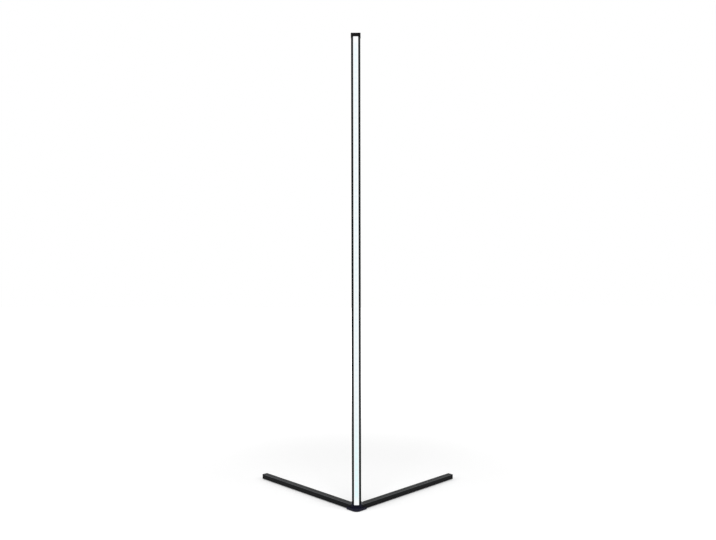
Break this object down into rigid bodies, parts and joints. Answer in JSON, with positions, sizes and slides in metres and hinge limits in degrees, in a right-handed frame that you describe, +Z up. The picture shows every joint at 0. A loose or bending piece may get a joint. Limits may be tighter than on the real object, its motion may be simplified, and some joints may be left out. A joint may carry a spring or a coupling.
{
  "type": "corner floor lamp",
  "caption": "Slim upright light column with a full-height opal front, standing at the vertex of a low V-shaped base of straight rectangular legs.",
  "frame": {"origin": "on the floor, under the middle of the column", "axes": "+Z up along the column; -Y is where the lit face looks; the legs run back towards +Y at 45 degrees to each side"},
  "size_m": [0.6466, 0.3354, 1.42],
  "materials": {
    "anodised_black": "black anodised extrusion, satin",
    "bare_aluminium": "mill finish",
    "blackened_steel": "blackened screw steel",
    "opal_diffuser": "opal co-extruded plastic, lit from behind",
    "strip_tape": "adhesive tape",
    "strip_board": "white solder resist on a flexible board",
    "led_package": "white chip package with a yellow lens",
    "resistor": "chip resistor",
    "lead_red": "insulated lead",
    "lead_black": "insulated lead",
    "inlet_plastic": "moulded plastic",
    "inlet_pin": "plated pin",
    "inlet_contact": "spring brass",
    "plated_nut": "plated steel",
    "cap_plastic": "black moulded plastic",
    "connector_paint": "semi-gloss black paint on a casting",
    "leg_paint": "satin black powder coat on steel tube",
    "pad_rubber": "rubber"
  },
  "bodies": {
    "root": {"column_lower": "anodised_black", "column_middle": "anodised_black", "column_upper": "anodised_black", "column_joiners": "bare_aluminium", "joiner_screws": "blackened_steel", "light_diffuser": "opal_diffuser", "strip_tape": "strip_tape", "strip_board": "strip_board", "strip_leds": "led_package", "strip_resistors": "resistor", "lead_red": "lead_red", "lead_black": "lead_black", "inlet_body": "inlet_plastic", "inlet_pin": "inlet_pin", "inlet_contact": "inlet_contact", "inlet_nut": "plated_nut", "top_cap": "cap_plastic", "top_cap_screws": "blackened_steel", "base_connector": "connector_paint", "base_pad": "pad_rubber", "column_screws": "blackened_steel", "leg_left": "leg_paint", "leg_right": "leg_paint", "leg_screws": "blackened_steel", "tip_cap_left": "cap_plastic", "tip_cap_right": "cap_plastic", "foot_pad_left": "pad_rubber", "foot_pad_right": "pad_rubber"}
  },
  "joints": []
}
